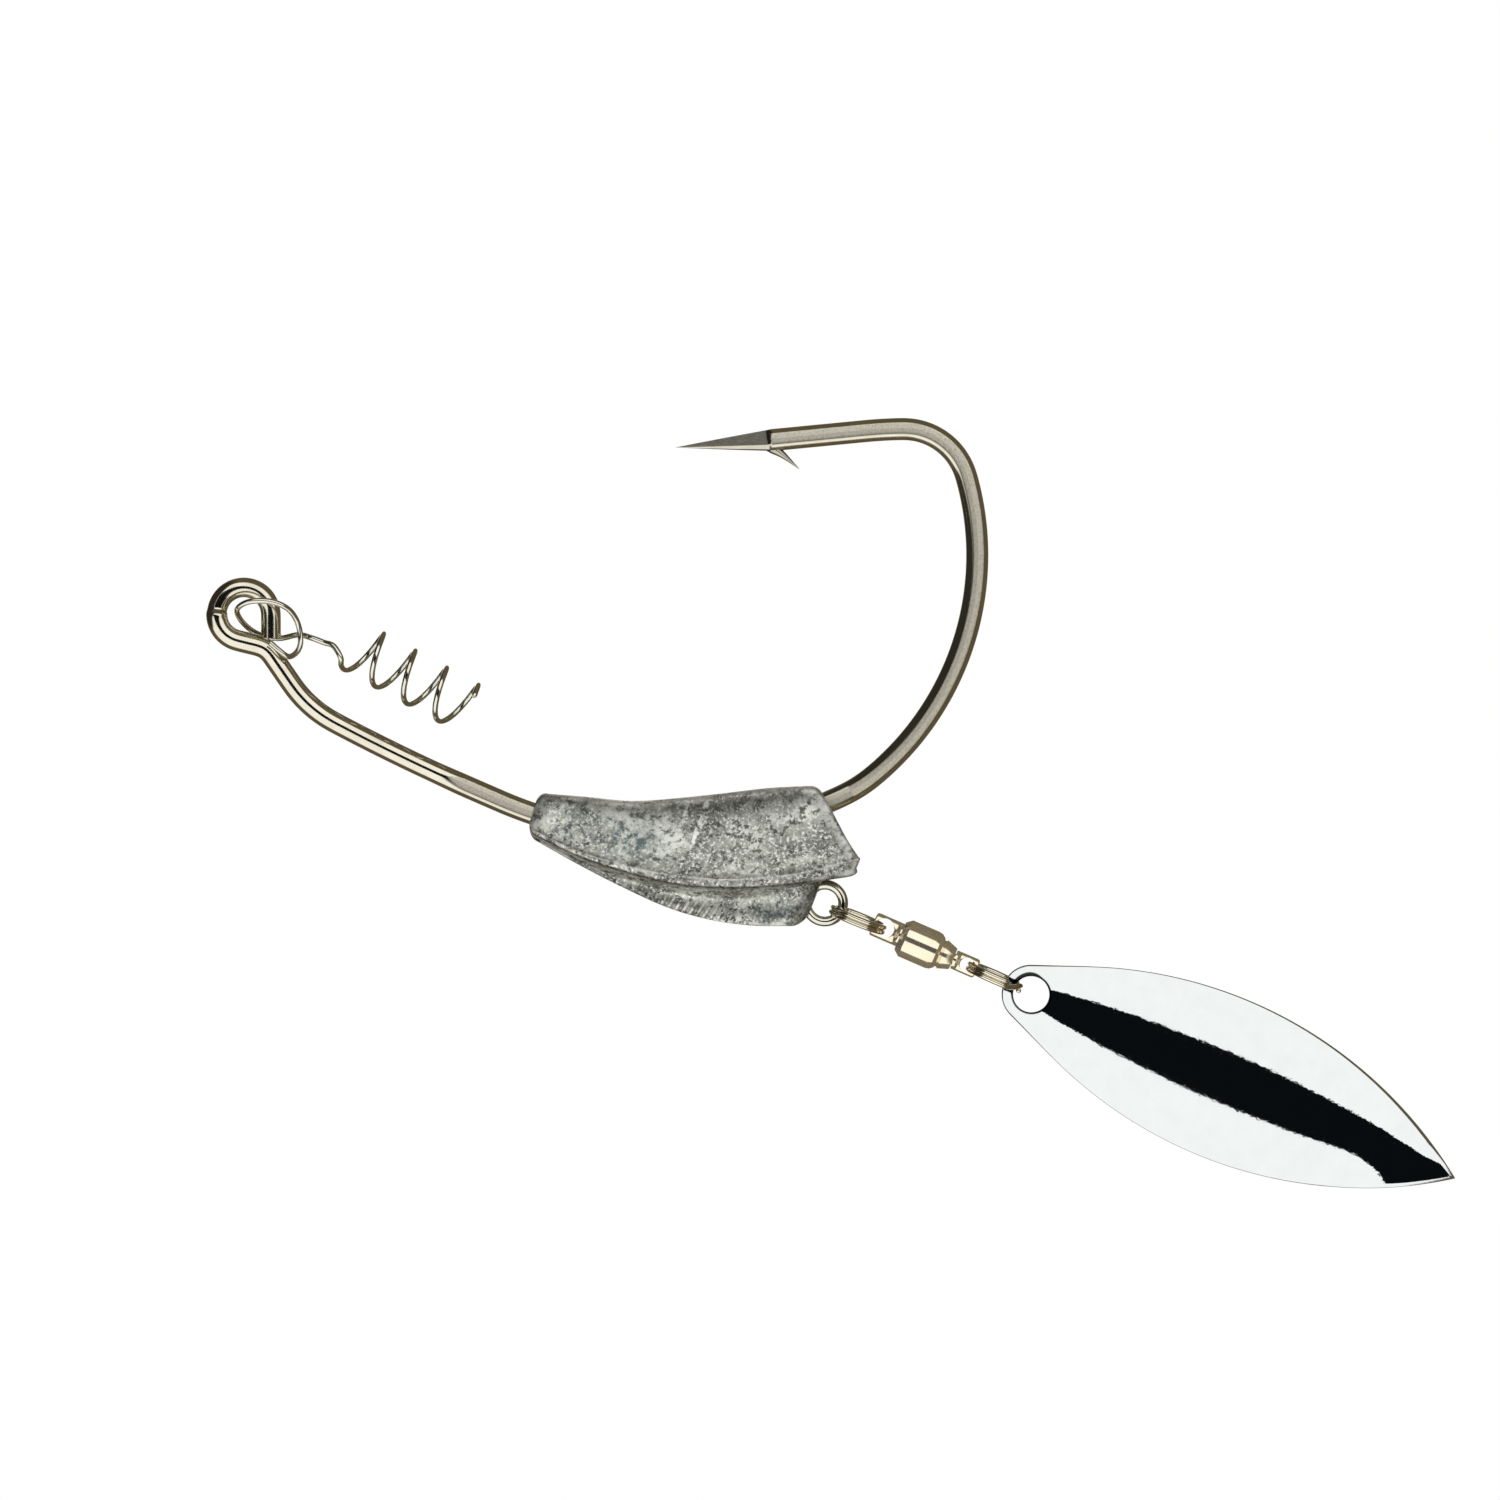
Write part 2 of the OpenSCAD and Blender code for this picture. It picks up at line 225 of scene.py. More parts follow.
def new_material(name):
    """A material with its node tree and its shader."""
    material = bpy.data.materials.new(name)
    material.use_nodes = True
    tree = material.node_tree
    shader = tree.nodes["Principled BSDF"]
    return material, tree, shader


class Nodes:
    """Short calls that add and join shader nodes in one tree."""

    def __init__(self, tree):
        self.tree = tree
        self.coords = self.add("ShaderNodeTexCoord").outputs["Object"]

    def add(self, kind, **settings):
        node = self.tree.nodes.new(kind)
        for key, value in settings.items():
            setattr(node, key, value)
        return node

    def link(self, source, target):
        self.tree.links.new(source, target)

    def put(self, target, value):
        if isinstance(value, bpy.types.NodeSocket):
            self.link(value, target)
        else:
            target.default_value = value

    def stretched(self, scale, turn=(0, 0, 0)):
        mapping = self.add("ShaderNodeMapping")
        mapping.inputs["Scale"].default_value = scale
        mapping.inputs["Rotation"].default_value = turn
        self.link(self.coords, mapping.inputs["Vector"])
        return mapping.outputs["Vector"]

    def noise(self, per_metre, detail=4, rough=0.6, distortion=0.0, vector=None):
        node = self.add("ShaderNodeTexNoise")
        node.inputs["Scale"].default_value = per_metre
        node.inputs["Detail"].default_value = detail
        node.inputs["Roughness"].default_value = rough
        node.inputs["Distortion"].default_value = distortion
        self.link(vector or self.coords, node.inputs["Vector"])
        return node.outputs["Fac"]

    def cells(self, per_metre):
        node = self.add("ShaderNodeTexVoronoi")
        node.inputs["Scale"].default_value = per_metre
        self.link(self.coords, node.inputs["Vector"])
        return node.outputs["Distance"]

    def steps(self, value, *stops):
        """A colour ramp: each stop is (place, grey) or (place, (r, g, b))."""
        node = self.add("ShaderNodeValToRGB")
        self.link(value, node.inputs["Fac"])
        ramp = node.color_ramp
        while len(ramp.elements) < len(stops):
            ramp.elements.new(0.5)
        for element, (place, colour) in zip(ramp.elements, stops):
            element.position = place
            rgb = (colour,) * 3 if isinstance(colour, (int, float)) else colour
            element.color = (*rgb, 1)
        return node.outputs["Color"]

    def math(self, operation, a, b=0.0, c=0.0):
        node = self.add("ShaderNodeMath", operation=operation)
        for target, value in zip(node.inputs, (a, b, c)):
            self.put(target, value)
        return node.outputs[0]

    def mix(self, share, a, b):
        node = self.add("ShaderNodeMix", data_type="RGBA")
        self.put(node.inputs[0], share)
        for target, value in zip(node.inputs[6:8], (a, b)):
            self.put(target, (*value, 1) if isinstance(value, tuple) else value)
        return node.outputs[2]

    def attribute(self, name):
        return self.add("ShaderNodeAttribute", attribute_name=name).outputs["Fac"]

    def bumps(self, height, strength, distance, under=None):
        node = self.add("ShaderNodeBump")
        node.inputs["Strength"].default_value = strength
        node.inputs["Distance"].default_value = distance
        self.link(height, node.inputs["Height"])
        if under is not None:
            self.link(under, node.inputs["Normal"])
        return node.outputs["Normal"]


def polished_metal(name, bright, dull, rough=(0.1, 0.22), grain=1800,
                   bump_height=0.0000015, metallic=1.0, extra=None):
    """Plated or polished metal: faint colour clouds, hairline scratches and an uneven gloss."""
    material, tree, shader = new_material(name)
    n = Nodes(tree)
    clouds = n.noise(grain * 0.35, detail=5)
    fine = n.noise(grain * 4, detail=3)
    hair = n.noise(grain, detail=2, vector=n.stretched((1, 1, 14), (0, 0.4, 0.2)))
    marks = n.steps(hair, (0.62, 0.0), (0.7, 1.0))
    colour = n.mix(n.steps(clouds, (0.35, 0.0), (0.68, 1.0)), bright, dull)
    gloss = n.math("MULTIPLY_ADD", clouds, rough[1] - rough[0], rough[0])
    gloss = n.math("MULTIPLY_ADD", marks, 0.06, gloss)
    height = n.math("ADD", n.math("MULTIPLY", fine, 0.6), n.math("MULTIPLY", marks, -0.4))
    normal = n.bumps(height, 0.5, bump_height)
    if extra:
        colour, gloss, normal = extra(n, colour, gloss, normal)
    n.link(colour, shader.inputs["Base Color"])
    n.link(gloss, shader.inputs["Roughness"])
    n.link(normal, shader.inputs["Normal"])
    shader.inputs["Metallic"].default_value = metallic
    return material


def hook_finish(n, colour, gloss, normal):
    """Satin forged flats with painted dark reflection lines, and the darker ground point with painted
    shade on its larger facet.
    """
    flat, seam, ground = (n.attribute(key) for key in ("flat", "seam", "ground"))
    speckle = n.noise(5200, detail=6, rough=0.7)
    satin = n.steps(speckle, (0.3, (0.62, 0.58, 0.46)), (0.5, (0.86, 0.82, 0.7)),
                    (0.7, (0.95, 0.92, 0.82)))
    stone = n.noise(9000, detail=3, vector=n.stretched((1, 1, 0.12), (0, 0.5, 0)))
    cut = n.steps(stone, (0.3, (0.1, 0.095, 0.085)), (0.7, (0.2, 0.19, 0.17)))
    colour = n.mix(flat, colour, satin)
    # The ground point is painted dark with grind streaks, and its larger facet is darker still with
    # painted shade
    colour = n.mix(ground, colour, cut)
    # A near-black painted reflection line along each flat's inner edge, and along the point's ridge and
    # its edge towards the gape
    colour = n.mix(seam, colour, (0.035, 0.03, 0.022))
    gloss = n.math("MULTIPLY_ADD", flat, 0.45, gloss)
    gloss = n.math("MULTIPLY_ADD", ground, 0.2, gloss)
    rough_skin = n.math("MULTIPLY", speckle, n.math("MAXIMUM", flat, ground))
    return colour, gloss, n.bumps(rough_skin, 0.6, 0.000012, normal)


def blade_finish(n, colour, gloss, normal):
    """Long soft waves and short ripples, which fray the edge of a reflection, and painted shade round the
    hole.
    """
    burr = n.attribute("burr")
    ripple = n.noise(2300, detail=2, rough=0.6)
    wave = n.noise(220, detail=2)
    # Near-black painted shade round the hole and on its wall
    colour = n.mix(burr, colour, (0.02, 0.022, 0.024))
    normal = n.bumps(ripple, 0.6, 0.0000065, normal)
    return colour, gloss, n.bumps(wave, 0.4, 0.000012, normal)


def lead_material():
    """Bare cast lead: a mottled skin, blue-grey patina, pits, nicks and bright scratches."""
    material, tree, shader = new_material("cast_lead")
    n = Nodes(tree)
    patina, rim, nick, painted_highlight = (n.attribute(key) for key in ("patina", "rim", "nick", "painted_highlight"))
    broad = n.noise(260, detail=8, rough=0.62, distortion=0.6)
    mottle = n.noise(1500, detail=9, rough=0.72, distortion=0.3)
    flecks = n.noise(4200, detail=6, rough=0.75)
    base = n.steps(broad, (0.4, (0.25, 0.26, 0.232)), (0.5, (0.52, 0.535, 0.48)),
                   (0.6, (0.93, 0.95, 0.88)))
    base = n.mix(n.steps(mottle, (0.43, 0.95), (0.49, 0.0)), base, (0.1, 0.1, 0.082))
    base = n.mix(n.steps(flecks, (0.52, 0.0), (0.58, 0.9)), base, (1.0, 1.0, 0.95))
    blotch = n.math("MULTIPLY", patina, n.steps(mottle, (0.44, 1.0), (0.58, 0.1)))
    base = n.mix(blotch, base, (0.13, 0.17, 0.175))
    # Painted shade, a dark brown, in the creases, between the keel's ribs and at both ends
    painted_shade = n.math("MULTIPLY", rim, n.steps(mottle, (0.35, 1.0), (0.72, 0.45)))
    base = n.mix(painted_shade, base, (0.085, 0.082, 0.068))
    # Painted highlights, near white, along the ridges and on the rear face
    highlight_share = n.math("MULTIPLY", painted_highlight, n.steps(mottle, (0.4, 0.25), (0.6, 1.0)))
    base = n.mix(highlight_share, base, (0.86, 0.87, 0.83))
    strokes = n.noise(2300, detail=0, vector=n.stretched((0.2, 1.0, 1.0), (0, 0.9, 0)))
    scratch = n.math("MULTIPLY", n.steps(strokes, (0.65, 0.0), (0.7, 1.0)), nick)
    scratch = n.math("MULTIPLY", scratch, n.steps(mottle, (0.44, 0.0), (0.52, 1.0)))
    base = n.mix(scratch, base, (1.0, 1.0, 0.97))
    pits = n.steps(n.cells(1100), (0.06, 1.0), (0.13, 0.0))
    base = n.mix(n.math("MULTIPLY", pits, 0.7), base, (0.07, 0.07, 0.06))
    n.link(base, shader.inputs["Base Color"])
    gloss = n.math("MULTIPLY_ADD", mottle, 0.3, 0.3)
    gloss = n.math("MULTIPLY_ADD", scratch, -0.2, gloss)
    n.link(gloss, shader.inputs["Roughness"])
    skin = n.bumps(mottle, 0.5, 0.00006)
    skin = n.bumps(flecks, 0.35, 0.00002, skin)
    skin = n.bumps(n.math("SUBTRACT", scratch, pits), 0.6, 0.00003, skin)
    n.link(skin, shader.inputs["Normal"])
    shader.inputs["Metallic"].default_value = 0.82
    return material


HOOK_STEEL = polished_metal("hook_steel", (0.74, 0.7, 0.59), (0.64, 0.6, 0.49), rough=(0.07, 0.15),
                            extra=hook_finish)
LEAD = lead_material()
BRIGHT_WIRE = polished_metal("bright_wire", (0.76, 0.74, 0.65), (0.66, 0.63, 0.53), rough=(0.06, 0.14),
                             bump_height=0.0000005)
RING_NICKEL = polished_metal("ring_nickel", (0.8, 0.75, 0.62), (0.7, 0.64, 0.5), rough=(0.06, 0.14),
                             bump_height=0.0000005)
SWIVEL_NICKEL = polished_metal("swivel_nickel", (0.9, 0.82, 0.64), (0.84, 0.74, 0.54), rough=(0.07, 0.15),
                               bump_height=0.0000008, metallic=0.88)
BEARING_STEEL = polished_metal("bearing_steel", (0.6, 0.6, 0.61), (0.5, 0.5, 0.51))
BLADE_CHROME = polished_metal("blade_chrome", (0.72, 0.745, 0.75), (0.69, 0.715, 0.72),
                              rough=(0.015, 0.03), bump_height=0.0000002, extra=blade_finish)


def finish_piece(piece, material, slot, body, *nodes):
    """Gives a piece its material and body, and hides the CAD nodes that it stands for."""
    piece.data.materials.append(material)
    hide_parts(*nodes)
    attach(piece, body)


# ---------------------------------------------------------------- hook

WIRE_R = 0.81
EYE_R = 2.0
EYE_HEADING = 23.5
EYE_END = 1.75
# Each step of the wire is a straight (length, 0) or an arc (radius, degrees that it turns)
HOOK_STEPS = [
    (EYE_END, 0), (EYE_R, 256.5), (1.7, 0), (1.5, -42), (2.7, 0), (9, 27.5), (150, 4.5),
    (2, 0), (31, 49), (11, 14), (21.5, 66.5), (4.9, 75), (37, 4.5), (14.1, 0),
]
HOOK_STEP = 0.12
HOOK_SIDES = 72
# The eye's first stretch of wire lies behind the limb that runs on to the shank
EYE_TUCK = 7.9
EYE_BEHIND = 0.42
# Length of the eye's wire, which is never forged
EYE_RUN = 12
# Depth below the eye where the forged flats begin, their half thickness and their wider radius
FLATS_FROM = 18.4
FLAT_HALF = 0.775
FORGED_R = 0.85
FLAT_TILT = 8
# Width over which a flat runs into the round side
FLAT_EDGE = 0.035
# The ground point: its length, its lean, and the ridge on each side as a share of the radius
POINT_LEN = 7.1
POINT_LEAN = 0.15
POINT_RIDGE = 0.38
POINT_PEAK = 0.8


def hook_line():
    """Points and headings of the hook's centreline, every HOOK_STEP, with eased bends."""
    headings = []
    heading = math.radians(EYE_HEADING)
    for size, turn in HOOK_STEPS:
        length = size if turn == 0 else size * math.radians(abs(turn))
        count = max(1, round(length / HOOK_STEP))
        headings += list(heading + math.radians(turn) * (np.arange(count) + 0.5) / count)
        heading += math.radians(turn)
    headings = np.array(headings)
    easing = 5
    weights = bump(np.arange(-easing, easing + 1), 0, easing)
    padded = np.pad(headings, easing, mode="edge")
    headings = np.convolve(padded, weights / weights.sum(), mode="valid")
    first = math.radians(EYE_HEADING)
    start = EYE_R * np.array([math.sin(first), -math.cos(first)])
    start -= EYE_END * np.array([math.cos(first), math.sin(first)])
    steps = HOOK_STEP * np.stack([np.cos(headings), np.sin(headings)], axis=1)
    return start + np.vstack([[0, 0], np.cumsum(steps, axis=0)]), np.append(headings, headings[-1])


def hook_section(flat, tilt, point):
    """Outline of the wire as (towards the gape, towards +Y), with where it is flat or carries a painted
    dark reflection line.
    """
    angle = np.arange(HOOK_SIDES) * 2 * math.pi / HOOK_SIDES
    radius = WIRE_R + (FORGED_R - WIRE_R) * flat
    a, b = radius * np.cos(angle), radius * np.sin(angle)
    clear = WIRE_R + 0.1
    limit = clear + (FLAT_HALF - clear) * flat
    over = np.clip(0.5 + 0.5 * (np.abs(b) - limit) / FLAT_EDGE, 0, 1)
    held = np.abs(b) * (1 - over) + limit * over - FLAT_EDGE * over * (1 - over)
    b = np.sign(b) * held
    on_flat = smoothstep(limit - 0.03, limit - 0.005, np.abs(b)) * smoothstep(0.2, 0.5, flat)
    # A thin painted dark reflection line runs along each flat's edge on the inner side of the bend
    inner = a > 0 if tilt < 0 else a < 0
    seam = bump(np.abs(b), limit - 0.04, 0.045) * inner * smoothstep(0.2, 0.5, flat)
    turn = math.radians(tilt)
    a, b = a * math.cos(turn) - b * math.sin(turn), b * math.cos(turn) + a * math.sin(turn)
    if point > 0:
        # Two ground planes meet in a low ridge on each side of the point
        up = np.clip((a / radius - POINT_RIDGE) / (1 - POINT_RIDGE), 0, 1)
        down = np.clip((POINT_RIDGE - a / radius) / (1 + POINT_RIDGE), 0, 1)
        ground_b = np.sign(b) * radius * POINT_PEAK * (1 - 0.5 * up) * (1 - 0.93 * down)
        b = b * (1 - point) + ground_b * point
    return a, b, on_flat, seam


def make_hook():
    """The wire's rings with their flats, painted dark reflection lines and ground point, and the barb."""
    line, headings = hook_line()
    count = len(line)
    along = np.arange(count) * HOOK_STEP
    total = along[-1]
    rings, flats, seams, grounds = [], [], [], []
    for i in range(count):
        x, z = line[i]
        past_eye = along[i] > EYE_RUN
        flat = float(smoothstep(FLATS_FROM - 1.2, FLATS_FROM + 2.2, -z)) if past_eye else 0.0
        left = total - along[i]
        point = float(smoothstep(POINT_LEN + 0.05, POINT_LEN - 0.2, left))
        flat *= 1 - float(smoothstep(POINT_LEN + 0.1, POINT_LEN - 0.1, left))
        bend = float(smoothstep(0, 12, x))
        a, b, on_flat, seam = hook_section(flat, FLAT_TILT * (1 - 2 * bend), point)
        taper = max(min(1.0, left / POINT_LEN), 0.02) ** 0.92
        normal = np.array([-math.sin(headings[i]), math.cos(headings[i])])
        tucked = float(smoothstep(EYE_TUCK + 0.2, EYE_TUCK - 0.2, along[i]))
        behind = EYE_BEHIND * tucked
        taper *= 1 - 0.07 * tucked
        ridge = POINT_RIDGE * WIRE_R
        # The point's larger facet, away from the gape, takes painted shade; the strip beyond the ridge,
        # towards the gape, stays lighter
        grounds.append(point * (0.2 + 0.7 * smoothstep(ridge + 0.06, ridge - 0.06, a)))
        # On the point, the ridge and the edge towards the gape get painted dark reflection lines
        seams.append(seam * (1 - point) + point * np.maximum(bump(a, ridge, 0.05), a > 0.85 * WIRE_R))
        flats.append(on_flat * (1 - point))
        # The point's outer side runs straight, so that its inner side does the tapering
        a = a * taper - POINT_LEAN * (1 - taper)
        b = b * taper
        rings.append(np.stack([x + a * normal[0], b + behind, z + a * normal[1]], axis=1))
    wire = (np.array(rings), skin_faces(count, HOOK_SIDES))
    base = line[np.searchsorted(along, total - POINT_LEN)]
    barb = barb_shell(base, headings[-1])
    points, faces = joined_parts([wire, barb])
    extra = len(points) - count * HOOK_SIDES
    hook = mesh_piece(
        "hook_wire", points, faces, sharp_deg=50,
        flat=np.concatenate([np.concatenate(flats), np.zeros(extra)]),
        seam=np.concatenate([np.concatenate(seams), np.zeros(extra)]),
        ground=np.concatenate([np.concatenate(grounds), np.full(extra, 0.45)]))
    finish_piece(hook, HOOK_STEEL, "hook_steel", "weighted_hook", "hook")


# The barb's middle line as (forward, inward) from the point's root, and its half sizes along it
BARB_LINE = [(0.3, 0.2), (-0.2, 0.66), (-0.9, 1.25), (-1.95, 2.35)]
BARB_WIDTH = [0.5, 0.42, 0.25, 0.02]
BARB_THICK = [0.55, 0.4, 0.26, 0.02]


def barb_shell(base, heading):
    """The spike that is cut up from the wire's inner side: a sliver with a knife-like section."""
    spots = through(BARB_LINE, 10)
    share = np.linspace(0, 1, len(spots))
    knots = np.linspace(0, 1, len(BARB_WIDTH))
    width = np.interp(share, knots, BARB_WIDTH)
    thick = np.interp(share, knots, BARB_THICK)
    forward = np.array([math.cos(heading), 0, math.sin(heading)])
    inward = np.array([-math.sin(heading), 0, math.cos(heading)])
    origin = np.array([base[0], 0, base[1]])
    tangents = np.gradient(spots, axis=0)
    tangents /= np.linalg.norm(tangents, axis=1)[:, None]
    sides = 24
    angle = np.arange(sides) * 2 * math.pi / sides
    rings = []
    for spot, t, w, h in zip(spots, tangents, width, thick):
        across = np.sign(np.cos(angle)) * np.abs(np.cos(angle)) ** 1.3 * w
        deep = np.sin(angle) * h
        flat_spot = spot[None] + across[:, None] * np.array([-t[1], t[0]])
        rings.append(origin + flat_spot[:, :1] * forward + flat_spot[:, 1:] * inward
                     + deep[:, None] * np.array([0, 1, 0]))
    return np.array(rings), skin_faces(len(rings), sides)


# ---------------------------------------------------------------- weight

# Edges of the weight as (x, z) from its nose to its rear, and the share of full width there
RAIL_TOP = [(-3.2, -26.3), (-2.3, -28.9), (-1.25, -32.1), (0.15, -34.9), (1.95, -38.1),
            (3.75, -41.2), (5.15, -44.0)]
RAIL_RIDGE = [(-6.15, -26.5), (-6.25, -29.9), (-5.8, -33.9), (-4.9, -38.0), (-3.4, -41.9),
              (-1.4, -45.6), (1.4, -49.35)]
RAIL_UNDER = [(-6.45, -26.6), (-6.6, -30.1), (-6.25, -34.1), (-5.5, -38.1), (-4.1, -41.9),
              (-2.4, -45.3), (0.1, -49.4)]
RAIL_HOLLOW = [(-6.55, -26.7), (-6.7, -30.2), (-6.45, -34.1), (-5.8, -38.0), (-4.6, -41.6),
               (-3.0, -44.6), (-1.3, -47.3)]
RAIL_FLANK = [(-6.65, -26.8), (-6.85, -30.2), (-6.7, -34.1), (-6.2, -37.9), (-5.2, -41.3),
              (-4.0, -44.2), (-2.8, -46.9)]
RAIL_KEEL = [(-6.8, -26.9), (-7.15, -30.3), (-7.4, -34.1), (-7.45, -37.8), (-7.05, -41.0),
             (-6.2, -44.1), (-5.0, -47.0)]
RAIL_WIDTH = [0.6, 0.76, 0.88, 0.96, 1.0, 0.97, 0.86]
TOP_W = 1.9
RIDGE_W = 3.3
KEEL_W = 1.2
WEIGHT_STATIONS = 44
SECTION_POINTS = 6
# The rounded ends: how far in they pull, how far out the nose and the rear bulge, and their rings
END_ROUND = 1.0
NOSE_BULGE = 0.75
REAR_BULGE = 0.95
END_STEPS = 9
# Mould marks across the keel
RIBS = 36
RIB_HEIGHT = 0.085


def weight_outline(rails, share):
    """Half of one section of the weight, from the middle of its top to the middle of its keel.

    Each row is a place on or between two rails, and the half width there."""
    top, ridge, under, hollow, flank, keel = rails
    rows = [
        (top, 0.0), (top, TOP_W * share * 0.4), (top * 0.99 + ridge * 0.01, TOP_W * share - 0.55),
        (top * 0.965 + ridge * 0.035, TOP_W * share - 0.16),
        (top * 0.88 + ridge * 0.12, TOP_W * share + 0.04),
        (top * 0.7 + ridge * 0.3, TOP_W * share + 0.06),
        (top * 0.45 + ridge * 0.55, (TOP_W * 0.74 + RIDGE_W * 0.26) * share),
        (top * 0.18 + ridge * 0.82, (TOP_W * 0.36 + RIDGE_W * 0.64) * share),
        (top * 0.04 + ridge * 0.96, RIDGE_W * share - 0.12),
        (ridge, RIDGE_W * share),
        (ridge * 0.4 + under * 0.6, RIDGE_W * share - 0.06),
        (under, RIDGE_W * share - 0.3),
        (hollow, (KEEL_W * 0.55 + RIDGE_W * 0.45) * share),
        (flank, KEEL_W * share + 0.2),
        (flank * 0.65 + keel * 0.35, KEEL_W * share + 0.02),
        (flank * 0.3 + keel * 0.7, KEEL_W * share),
        (keel * 0.97 + flank * 0.03, KEEL_W * share - 0.22),
        (keel, KEEL_W * share - 0.5), (keel, 0.0),
    ]
    control = [(place[0], -width, place[1]) for place, width in rows]
    return through(control, SECTION_POINTS)


def weight_loops():
    """Closed sections from nose to rear, the row of their half points, and their middle line."""
    rails = np.array([through(rail, WEIGHT_STATIONS) for rail in
                      (RAIL_TOP, RAIL_RIDGE, RAIL_UNDER, RAIL_HOLLOW, RAIL_FLANK, RAIL_KEEL)])
    widths = through([(w, 0) for w in RAIL_WIDTH], WEIGHT_STATIONS)[:, 0]
    halves = np.array([weight_outline(rails[:, i], width) for i, width in enumerate(widths)])
    row = np.linspace(0, 1, halves.shape[1])
    place = np.linspace(0, 1, len(widths))[:, None]
    on_keel = smoothstep(0.72, 0.8, row) * smoothstep(0.97, 0.9, row)
    ribs = RIB_HEIGHT * np.sin(place * RIBS * 2 * math.pi) * bump(place, 0.52, 0.4) * on_keel
    # Hand-cast surfaces are never quite true
    drift = 0.045 * np.sin(place * 13 + row * 9) + 0.03 * np.sin(place * 29 - row * 21 + 1)
    quiet = smoothstep(0, 0.12, row) * smoothstep(1, 0.88, row)
    halves[:, :, 1] -= ribs + drift * quiet
    far = halves[:, -2:0:-1] * np.array([1, -1, 1])
    return np.concatenate([halves, far], axis=1), row, rails.mean(axis=0)


def end_ring(loop, outward, share, depth):
    """One ring of a rounded end: the loop shrinks towards its middle as it moves outward."""
    angle = share * math.pi / 2
    middle = loop.mean(axis=0)
    away = loop - middle
    inward = END_ROUND * (1 - math.cos(angle))
    reach = np.maximum(np.linalg.norm(away[:, [0, 2]], axis=1), 0.6)
    pulled = away * np.clip(1 - inward / reach, 0, 1)[:, None]
    pulled[:, 1] = away[:, 1] * (1 - inward / np.abs(away[:, 1]).max())
    push = depth * math.sin(angle)
    return middle + pulled + push * np.array([outward[0], 0, outward[1]])


def weight_marks(place, row):
    """Where the weight gets painted shade, is blue-grey, is nicked or gets a painted highlight, from 0 to
    1 at each point.

    place runs from nose to rear, and row from the middle of the top to the middle of the keel."""
    everywhere = np.ones_like(place)
    # Painted shade: dark bands along the creases beside the ridges and edges, between the keel's ribs and
    # at both ends
    creases = (0.95 * bump(row, 0.22, 0.05) + 0.9 * bump(row, 0.6, 0.04)
               + 0.5 * bump(row, 0.445, 0.02) + 0.5 * bump(row, 0.96, 0.03))
    between_ribs = smoothstep(0.1, -0.6, np.sin(place * RIBS * 2 * math.pi))
    on_flank = smoothstep(0.72, 0.78, row) * smoothstep(0.96, 0.88, row)
    rim = creases * everywhere + 0.75 * bump(place, 0.52, 0.3) * between_ribs * on_flank
    rim = np.maximum(rim, 0.7 * smoothstep(0.035, 0.0, place) + 0.75 * smoothstep(0.96, 1.0, place))
    # Painted highlights: light lines along the ridges and on the rear face
    ridges = bump(row, 0.15, 0.035) + 0.8 * bump(row, 0.49, 0.03) + 0.7 * bump(row, 0.9, 0.02)
    rear_face = 0.8 * smoothstep(0.975, 1.0, place) * smoothstep(0.6, 0.5, row)
    marks = {
        "rim": rim,
        "patina": (bump(place, 0.34, 0.16) * bump(row, 0.33, 0.13)
                   + 0.8 * bump(place, 0.93, 0.06) * bump(row, 0.2, 0.05)
                   + 0.7 * bump(place, 0.9, 0.12) * bump(row, 0.8, 0.1)
                   + 0.35 * bump(place, 0.12, 0.08)),
        "nick": bump(place, 0.6, 0.16) * bump(row, 0.3, 0.12),
        "painted_highlight": np.maximum(ridges * everywhere, rear_face),
    }
    return {key: np.clip(values, 0, 1).ravel() for key, values in marks.items()}


def make_weight():
    """The sections skinned from nose to rear, with a rounded end at each."""
    loops, row, middle_line = weight_loops()
    travel = np.gradient(middle_line, axis=0)
    travel /= np.linalg.norm(travel, axis=1)[:, None]
    shares = np.arange(1, END_STEPS + 1) / END_STEPS
    nose = [end_ring(loops[0], -travel[0], share, NOSE_BULGE) for share in shares[::-1]]
    rear = [end_ring(loops[-1], travel[-1], share, REAR_BULGE) for share in shares]
    rings = np.array(nose + list(loops) + rear)
    place = np.concatenate([np.zeros(END_STEPS), np.linspace(0, 1, len(loops)), np.ones(END_STEPS)])
    marks = weight_marks(place[:, None], np.concatenate([row, row[-2:0:-1]]))
    piece = mesh_piece("lead_weight", rings.reshape(-1, 3), skin_faces(len(rings), rings.shape[1]),
                       sharp_deg=70, **marks)
    finish_piece(piece, LEAD, "cast_lead", "weighted_hook", "keel_weight")


# ---------------------------------------------------------------- eye under the weight

BELLY_R = 1.38
BELLY_WIRE_R = 0.38


def make_belly_eye():
    """A ring of wire whose two legs run side by side into the lead."""
    turns = np.radians(np.linspace(-158, 150, 40))
    ring = np.stack([BELLY_R * np.sin(turns), 0 * turns, -BELLY_R * np.cos(turns)], axis=1)
    into_lead = np.array([[0.42, 0.0, 0.9], [0.75, 0.0, 1.8]])
    legs = [ring[0] + into_lead[::-1], ring[-1] + into_lead]
    path = through(BELLY_EYE + np.vstack([legs[0], ring, legs[1]]), 4)
    rings = tube_points(path, BELLY_WIRE_R, 36)
    piece = mesh_piece("belly_eye_wire", rings.reshape(-1, 3), skin_faces(len(rings), 36), sharp_deg=60)
    finish_piece(piece, BRIGHT_WIRE, "bright_wire", "weighted_hook", "belly_eye")


# ---------------------------------------------------------------- screw lock

SPRING_R = 0.215
